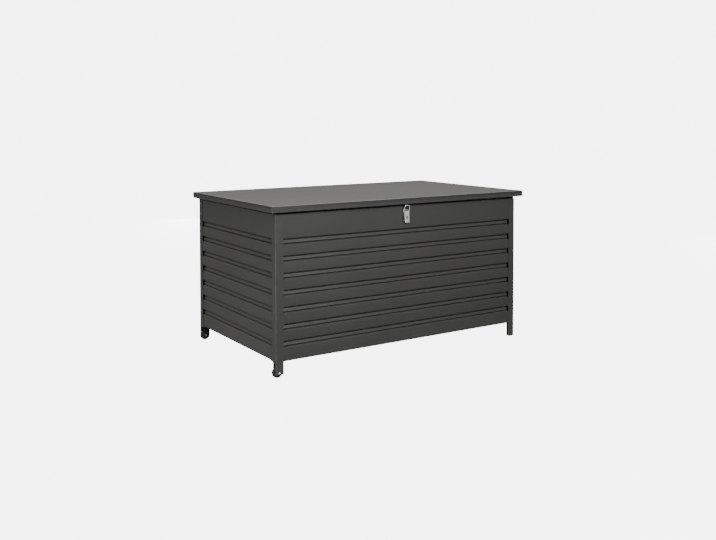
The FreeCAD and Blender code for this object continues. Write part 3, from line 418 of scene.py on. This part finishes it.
def addStudio(settings):
    side, radius = settings["floorSide"] / 2, settings["surroundRadius"]
    sides = settings["surroundSides"]
    corners = [(-side, -side), (side, -side), (side, side), (-side, side)]
    angles = [math.tau * i / sides for i in range(sides)]

    def floorShape(shape):
        shape.faces.new([shape.verts.new((x, y, -settings["floorDrop"])) for x, y in corners])

    def ringShape(shape):
        rows = [[shape.verts.new((radius * math.cos(a), radius * math.sin(a), z)) for a in angles]
                for z in (0, settings["surroundHeight"])]
        for i in range(sides):
            shape.faces.new([rows[0][i - 1], rows[0][i], rows[1][i], rows[1][i - 1]])
    for name, shape in (("studioFloor", floorShape), ("studioSurround", ringShape)):
        obj = newMesh(name, shape)
        obj.data.materials.append(paleSurface(name + "Tone", settings))
        obj.visible_diffuse = False
        obj.visible_glossy = False
    world = bpy.data.worlds.new("studio")
    bpy.context.scene.world = world
    world.use_nodes = True
    tree = Tree(world.node_tree)
    tree.add("ShaderNodeSeparateXYZ", values={0: tree.add("ShaderNodeTexCoord", out="Generated")})
    rise = tree.add("ShaderNodeMapRange", {"interpolation_type": "SMOOTHSTEP"}, {
        0: tree.also(2), 1: -settings["skyBand"], 2: settings["skyBand"],
        3: settings["skyLow"], 4: settings["skyHigh"]})
    glow = tree.add("ShaderNodeBackground", values={"Color": settings["skyTint"], "Strength": rise})
    tree.add("ShaderNodeOutputWorld", values={"Surface": glow})
    for name, place, aim, width, height, power in settings["lamps"]:
        lamp = bpy.data.lights.new(name, "AREA")
        lamp.shape = "RECTANGLE"
        lamp.size = width
        lamp.size_y = height
        lamp.energy = power
        obj = newObject(name, lamp)
        obj.visible_camera = False
        obj.location = place
        obj.rotation_euler = (Vector(aim) - Vector(place)).to_track_quat("-Z", "Y").to_euler()


addStudio(studioSettings)
print("camera and studio set")

# Grooved panels: one rolled sheet drawn by its rule, in a node tree

panelSettings = {
    "bend": 0.0009, "bendSteps": 5, "sheet": 0.0010, "returned": 0.015,
    "grooves": 7, "pitch": 0.081, "first": 0.0965,
    "lip": 0.0072, "floor": 0.0150, "crease": 0.0052, "ramp": 0.0056,
    "depth": 0.0110, "floorDepth": 0.0052, "creaseDepth": 0.0110, "rampDepth": 0.0050,
    "creaseSpan": 0.85, "shoulder": 0.25, "rampShade": 0.4,
    "clear": 0.025, "behind": 0.008, "slack": 0.0001, "skin": 0.0004, "foot": 0.003}


def sheetTree(settings):
    group, tree, given = startGroup("rolledSheet", "Sheet", (
        "Length", "Height", "Pitch", "First", "Lip", "Floor", "Crease", "Ramp", "Depth", "Floor Depth",
        "Crease Depth", "Ramp Depth", "Return", "Left Inset", "Right Inset", "Bend"), ["Grooves"], "Coat")
    # The folded section: a return, a corner, seven corners to each groove, and the top edge
    line = tree.add("GeometryNodeCurvePrimitiveLine", values={"End": (0, 0, 1)})
    corners = 7
    line = tree.add("GeometryNodeResampleCurve", values={
        "Curve": line, "Count": given["Grooves"] * corners + 3})
    index = tree.add("GeometryNodeInputIndex")
    corner = (index - 2) % corners
    row = (index - 2 - corner) / corners
    inGroove = (index > 1.5) * (index < given["Grooves"] * corners + 1.5)
    atTop = index > given["Grooves"] * corners + 1.5
    at = [isAt(corner, place) for place in range(corners - 1)]
    lipEnd = given["Lip"]
    floorEnd = lipEnd + given["Floor"]
    creaseEnd = floorEnd + given["Crease"]
    span, shoulder = settings["creaseSpan"], settings["shoulder"]
    drop = (at[0] * (creaseEnd + given["Ramp"]) + at[1] * creaseEnd
            + at[2] * (floorEnd + given["Crease"] * span) + at[3] * floorEnd
            + at[4] * (lipEnd + given["Floor"] * shoulder) + at[5] * lipEnd)
    sink = (at[1] * given["Ramp Depth"] + at[2] * given["Crease Depth"] + at[3] * given["Floor Depth"]
            + at[4] * (given["Depth"] * (1 - shoulder) + given["Floor Depth"] * shoulder)
            + at[5] * given["Depth"])
    # Painted shade: the crease, the foot of the ramp and the foot of the lip are marked for the coat to
    # darken
    paintedShadeShare = inGroove * (at[1] * settings["rampShade"] + at[2] + at[5])
    high = inGroove * (given["First"] + row * given["Pitch"] - drop) + atTop * given["Height"]
    deep = inGroove * sink + isAt(index, 0) * given["Return"]
    spot = tree.add("ShaderNodeCombineXYZ", values={"X": -deep, "Y": -high})
    line = tree.add("GeometryNodeStoreNamedAttribute", {"data_type": "FLOAT"}, {
        "Geometry": line, "Name": "recess", "Value": paintedShadeShare})
    line = tree.add("GeometryNodeSetPosition", values={"Geometry": line, "Position": spot})
    section = tree.add("GeometryNodeFilletCurve", {"mode": "POLY"}, {
        "Curve": line, "Count": settings["bendSteps"], "Radius": given["Bend"], "Limit Radius": True})
    # The run along X, with a station at each end of the grooves
    run = tree.add("GeometryNodeCurvePrimitiveLine", values={"End": (1, 0, 0)})
    run = tree.add("GeometryNodeResampleCurve", values={"Curve": run, "Count": 4})
    half = given["Length"] / 2
    end = (index > 1.5) * 2 - 1
    inset = isAt(index, 1) * given["Left Inset"] + isAt(index, 2) * given["Right Inset"]
    spot = tree.add("ShaderNodeCombineXYZ", values={"X": end * (half - inset)})
    run = tree.add("GeometryNodeSetPosition", values={"Geometry": run, "Position": spot})
    sheet = tree.add("GeometryNodeCurveToMesh", values={"Curve": run, "Profile Curve": section})
    # Notches: nothing of a groove is left past its ends
    place = tree.add("GeometryNodeInputPosition")
    tree.add("ShaderNodeSeparateXYZ", values={0: place})
    along, inward, up = tree.also(0), tree.also(1), tree.also(2)
    slack = settings["slack"]
    past = (along > half - given["Right Inset"] + slack) + (along < given["Left Inset"] - half - slack)
    sunk = inward.calc("ABSOLUTE") > settings["skin"]
    gone = past * sunk * (up.calc("ABSOLUTE") > settings["foot"])
    sheet = tree.add("GeometryNodeDeleteGeometry", {"domain": "FACE"}, {"Geometry": sheet, "Selection": gone})
    endGroup(tree, sheet, given["Coat"])
    return group


rolledSheet = sheetTree(panelSettings)


def addPanel(node, name, face, turn, leftInset, rightInset):
    low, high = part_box(node)
    s = panelSettings
    size = high - low
    obj = newObject(name, bpy.data.meshes.new(name))
    fill(obj.modifiers.new("Roll", "NODES"), rolledSheet, {
        "Length": max(size.x, size.y), "Height": size.z, "Pitch": s["pitch"], "First": s["first"],
        "Lip": s["lip"], "Floor": s["floor"], "Crease": s["crease"], "Ramp": s["ramp"], "Depth": s["depth"],
        "Floor Depth": s["floorDepth"], "Crease Depth": s["creaseDepth"], "Ramp Depth": s["rampDepth"],
        "Return": s["returned"], "Left Inset": leftInset, "Right Inset": rightInset, "Bend": s["bend"],
        "Grooves": s["grooves"], "Coat": slotMaterial[nodeSlot[node]]})
    gauge = obj.modifiers.new("Gauge", "SOLIDIFY")
    gauge.thickness = s["sheet"]
    gauge.offset = 1
    gauge.use_even_offset = True
    settled(obj)
    middle = (low + high) / 2
    foot = Vector((middle.x, middle.y, low.z))
    foot[face[0]] = (low, high)[face[1]][face[0]]
    obj.data.transform(Matrix.Translation(foot) @ Matrix.Rotation(math.radians(turn), 4, "Z"))
    smooth(obj)
    return declare(obj, nodeSlot[node], nodeBody[node], node)


# At the left and right, seen from outside, the grooves end clear of the post or run on behind it
clear, behind = panelSettings["clear"], panelSettings["behind"]
for panel in (("front_panel", "frontPanelSheet", (1, 0), 0, clear, clear),
              ("rear_panel", "rearPanelSheet", (1, 1), 180, behind, behind),
              ("left_panel", "leftPanelSheet", (0, 0), -90, clear, behind),
              ("right_panel", "rightPanelSheet", (0, 1), 90, behind, clear)):
    addPanel(*panel)
print("panels rolled")

# Lid: a folded tray, its section carried round the outline ring by ring

# Besides the shape, these numbers paint shade on the top of the lid's skirt and paint a highlight along the
# top edge, the roll and the lower skirt
traySettings = {
    "sheet": 0.0012, "fade": 0.018, "roll": 0.0030, "cant": 0.0010, "bend": 0.0022,
    "returned": 0.073, "plan": 0.0052, "least": 0.0004, "arcSteps": 4, "cornerSteps": 6,
    "sharp": 40, "shade": 0.62, "wear": 0.12, "brush": 0.4}


def traySection(settings, height):
    # Inset, height, painted highlight and painted shade of each ring, from the top's edge round to the
    # returned flange
    fade, roll, cant, bend = settings["fade"], settings["roll"], settings["cant"], settings["bend"]
    steps = [i / settings["arcSteps"] * math.pi / 2 for i in range(settings["arcSteps"] + 1)]
    shade, wear = settings["shade"], settings["wear"]
    # The first rings paint a highlight along the top's edge and the roll, the skirt is painted dark at its
    # top, and its lower rings are painted paler
    section = [(fade, height, 0, 0), (fade / 2, height, settings["brush"], 0)]
    section += [(roll - roll * math.sin(a), height - roll + roll * math.cos(a),
                 1 - math.sin(a), shade * math.sin(a)) for a in steps]
    section += [(cant / 2, (height - roll + bend) / 2, wear / 2, shade * settings["brush"])]
    section += [(cant + bend - bend * math.cos(a), bend - bend * math.sin(a), wear, 0) for a in steps]
    return section + [(settings["returned"], 0, 0, 0)]


def addTray(node, name, settings):
    low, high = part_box(node)
    middle, half = (low + high) / 2, (high - low) / 2
    steps = settings["cornerSteps"]

    def ringAt(shape, inset, rise, paintedLight, shade):
        radius = max(settings["plan"] - inset, settings["least"])
        ridge = shape.verts.layers.float.get("ridge") or shape.verts.layers.float.new("ridge")
        recess = shape.verts.layers.float.get("recess") or shape.verts.layers.float.new("recess")
        spots = []
        for quarter, (x, y) in enumerate(((1, 1), (-1, 1), (-1, -1), (1, -1))):
            for i in range(steps + 1):
                angle = (quarter + i / steps) * math.pi / 2
                spots.append(shape.verts.new((
                    middle.x + x * (half.x - inset - radius) + radius * math.cos(angle),
                    middle.y + y * (half.y - inset - radius) + radius * math.sin(angle),
                    low.z + rise)))
                spots[-1][ridge], spots[-1][recess] = paintedLight, shade
        return spots

    def build(shape):
        rings = [ringAt(shape, *spot) for spot in traySection(settings, high.z - low.z)]
        shape.faces.new(rings[0])
        for upper, lower in zip(rings, rings[1:]):
            for i in range(len(upper)):
                shape.faces.new([upper[i - 1], lower[i - 1], lower[i], upper[i]])
    obj = newMesh(name, build)
    turnUp(obj)
    gauge = obj.modifiers.new("Gauge", "SOLIDIFY")
    gauge.thickness = settings["sheet"]
    gauge.offset = -1
    gauge.use_even_offset = True
    settled(obj)
    smooth(obj, settings["sharp"])
    return declare(obj, nodeSlot[node], nodeBody[node], node)


addTray("lid_skin", "lidTray", traySettings)
print("lid folded")

# Rivets: domed heads on shanks, set out in rows and columns by a node tree

rivetSettings = {"head": 0.0038, "crown": 0.0013, "shank": 0.0020,
                 "domeRings": 6, "shankRings": 3, "around": 20, "weld": 0.000001, "sharp": 40}


def rivetTree(settings):
    group, tree, given = startGroup("rivetRows", "Rivets", (
        "Head Radius", "Crown", "Shank Radius", "Grip", "Across", "Along"), ("Columns", "Rows"), "Metal")
    # One rivet: a grid wrapped round its axis, from the crown of the dome to the closed end of the shank
    domeRings = settings["domeRings"]
    rings = domeRings + settings["shankRings"]
    skin = tree.add("GeometryNodeMeshGrid", values={
        "Vertices X": settings["around"] + 1, "Vertices Y": rings})
    tree.add("ShaderNodeSeparateXYZ", values={0: tree.add("GeometryNodeInputPosition")})
    across, along = tree.also(0), tree.also(1)
    around, ring = (across + 0.5) * math.tau, (along + 0.5) * (rings - 1)
    dome = ring < domeRings - 0.5
    shank = (ring > domeRings - 0.5) * (ring < rings - 1.5)
    swing = ring * (math.pi / 2 / (domeRings - 1))
    out = dome * given["Head Radius"] * swing.calc("SINE") + shank * given["Shank Radius"]
    up = dome * given["Crown"] * swing.calc("COSINE") - (ring > domeRings + 0.5) * given["Grip"]
    spot = tree.add("ShaderNodeCombineXYZ", values={
        "X": out * around.calc("COSINE"), "Y": out * around.calc("SINE"), "Z": up})
    skin = tree.add("GeometryNodeSetPosition", values={"Geometry": skin, "Position": spot})
    skin = tree.add("GeometryNodeMergeByDistance", values={"Geometry": skin, "Distance": settings["weld"]})
    field = tree.add("GeometryNodeMeshGrid", values={
        "Size X": given["Across"], "Size Y": given["Along"],
        "Vertices X": given["Columns"], "Vertices Y": given["Rows"]})
    rivets = tree.add("GeometryNodeInstanceOnPoints", values={"Points": field, "Instance": skin})
    endGroup(tree, rivets, given["Metal"])
    return group


facing = {  # which way the heads look: the turn, the axis across, the axis along, the head's axis and sign
    "up": (Matrix(), 0, 1, 2, 1),
    "down": (Matrix.Rotation(math.pi, 4, "X"), 0, 1, 2, -1),
    "front": (Matrix.Rotation(math.pi / 2, 4, "X"), 0, 2, 1, -1),
    "right": (Matrix.Rotation(math.pi / 2, 4, "Y"), 2, 1, 0, 1)}
rivetRows = rivetTree(rivetSettings)


def addRivets(node, name, way, columns, rows):
    low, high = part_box(node)
    turn, across, along, axis, sign = facing[way]
    s = rivetSettings
    obj = newObject(name, bpy.data.meshes.new(name))
    fill(obj.modifiers.new("Rows", "NODES"), rivetRows, {
        "Head Radius": s["head"], "Crown": s["crown"], "Shank Radius": s["shank"],
        "Grip": high[axis] - low[axis] - s["crown"], "Across": high[across] - low[across] - 2 * s["head"],
        "Along": high[along] - low[along] - 2 * s["head"], "Columns": columns, "Rows": rows,
        "Metal": slotMaterial[nodeSlot[node]]})
    settled(obj)
    foot = (low + high) / 2
    foot[axis] = high[axis] - s["crown"] if sign > 0 else low[axis] + s["crown"]
    obj.data.transform(Matrix.Translation(foot) @ turn)
    outward(obj)
    smooth(obj, s["sharp"])
    return declare(obj, nodeSlot[node], nodeBody[node], node)


for rivetRow in (("hinge_rivets_body", "hingeRivetsBody", "up", 12, 1),
                 ("hinge_rivets_lid", "hingeRivetsLid", "down", 12, 1),
                 ("latch_rivets", "latchRivets", "front", 2, 2),
                 ("catch_rivets", "catchRivets", "down", 2, 1),
                 ("handle_rivets", "handleRivets", "right", 2, 2)):
    addRivets(*rivetRow)
print("rivets set out")

# Wheel hubs: a ring of tapered ribs in each dish

ribSettings = {"ribs": 8, "inner": 0.0066, "outer": 0.0158, "rise": 0.0027,
               "gauge": 0.0016, "taper": 0.4, "steps": 4, "dish": 0.005}


def ribTree(settings):
    group, tree, given = startGroup("ribRing", "Ribs", (
        "Inner", "Outer", "Rise", "Gauge", "Taper"), ["Count"], "Plastic")
    run = given["Outer"] - given["Inner"]
    block = tree.add("GeometryNodeMeshCube", values={"Vertices X": settings["steps"] + 1})
    tree.add("ShaderNodeSeparateXYZ", values={0: tree.add("GeometryNodeInputPosition")})
    along, side, high = tree.also(0), tree.also(1), tree.also(2)
    share, top = along + 0.5, high + 0.5
    spot = tree.add("ShaderNodeCombineXYZ", values={
        "X": given["Inner"] + share * run,
        "Y": side * given["Gauge"] * (1 - share * given["Taper"]),
        "Z": top * given["Rise"] * (1 - share * share * given["Taper"])})
    block = tree.add("GeometryNodeSetPosition", values={"Geometry": block, "Position": spot})
    points = tree.add("GeometryNodeMeshLine", values={"Count": given["Count"], "Offset": (0, 0, 0)})
    turn = tree.add("ShaderNodeCombineXYZ", values={
        "Z": tree.add("GeometryNodeInputIndex") * math.tau / given["Count"]})
    ribs = tree.add("GeometryNodeInstanceOnPoints", values={
        "Points": points, "Instance": block, "Rotation": turn})
    endGroup(tree, ribs, given["Plastic"])
    return group


ribRing = ribTree(ribSettings)


def addRibs(wheel, name, side):
    low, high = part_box("wheel_%s_tyre" % wheel)
    s = ribSettings
    obj = newObject(name, bpy.data.meshes.new(name))
    fill(obj.modifiers.new("Ring", "NODES"), ribRing, {
        "Inner": s["inner"], "Outer": s["outer"], "Rise": s["rise"], "Gauge": s["gauge"],
        "Taper": s["taper"], "Count": s["ribs"], "Plastic": slotMaterial["black_plastic"]})
    settled(obj)
    foot = (low + high) / 2
    foot.y += side * s["dish"]
    obj.data.transform(Matrix.Translation(foot) @ Matrix.Rotation(-side * math.pi / 2, 4, "X"))
    outward(obj)
    smooth(obj)
    return declare(obj, "black_plastic", "wheel_" + wheel)


for wheel in ("front", "rear"):
    addRibs(wheel, wheel + "HubRibsNear", -1)
    addRibs(wheel, wheel + "HubRibsFar", 1)
print("hubs ribbed")

# The frame, lid and hardware: copies of the solids with their edges eased

easeWidths = {  # width of the eased edge, by what a node's name holds
    "post": 0.0008, "tyre": 0.0012, "hub": 0.0004, "foot_block": 0.001, "rail": 0.0007,
    "bearer": 0.0007, "stiffener": 0.0004, "seal": 0.0006, "strut_rod": 0.0004, "strut_tube": 0.0006,
    "bail": 0, "handle_plate": 0.0005, "leaf": 0.0002, "bolts": 0.0003, "nuts": 0.0003}
leafSettings = {"reach": 0.0068, "near": 0.0004, "trim": 0.0022}
sealSettings = {"inside": 0.001, "skin": 0.001}


def camel(words):
    first, *rest = words.split("_")
    return first + "".join(word.title() for word in rest)


def closeLeaf(leaf, settings):
    # The leaf's long edge lies close along the round of the barrel
    pinLow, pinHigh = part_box("hinge_pin")
    edge = (pinLow.y + pinHigh.y) / 2 - settings["reach"]
    for vertex in leaf.data.vertices:
        if abs(vertex.co.y - edge) < settings["near"]:
            vertex.co.y += settings["trim"]


def spreadSeal(seal, settings):
    # The shut lid presses the seal out nearly to the faces of the front and side panels
    low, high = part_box("lid_seal")
    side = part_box("left_panel")[0].x + settings["inside"]
    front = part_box("front_panel")[0].y + settings["inside"]
    for vertex in seal.data.vertices:
        if vertex.co.x < low.x + settings["skin"]:
            vertex.co.x = side
        elif vertex.co.x > high.x - settings["skin"]:
            vertex.co.x = -side
        if vertex.co.y < low.y + settings["skin"]:
            vertex.co.y = front


for node in frame["nodes"]:
    if "panel" not in node and "rivets" not in node and node != "lid_skin":
        width = next((w for part, w in easeWidths.items() if part in node), easeSettings["usual"])
        piece = eased(node, camel(node), width)
        if node == "lid_seal":
            spreadSeal(piece, sealSettings)
        elif "leaf" in node:
            closeLeaf(piece, leafSettings)
eased("floor_panel", "floorPanel", easeSettings["usual"])
print("frame, lid and hardware eased")

for node, obj in frame["nodes"].items():
    obj.data.materials.clear()
    obj.data.materials.append(slotMaterial[nodeSlot[node]])
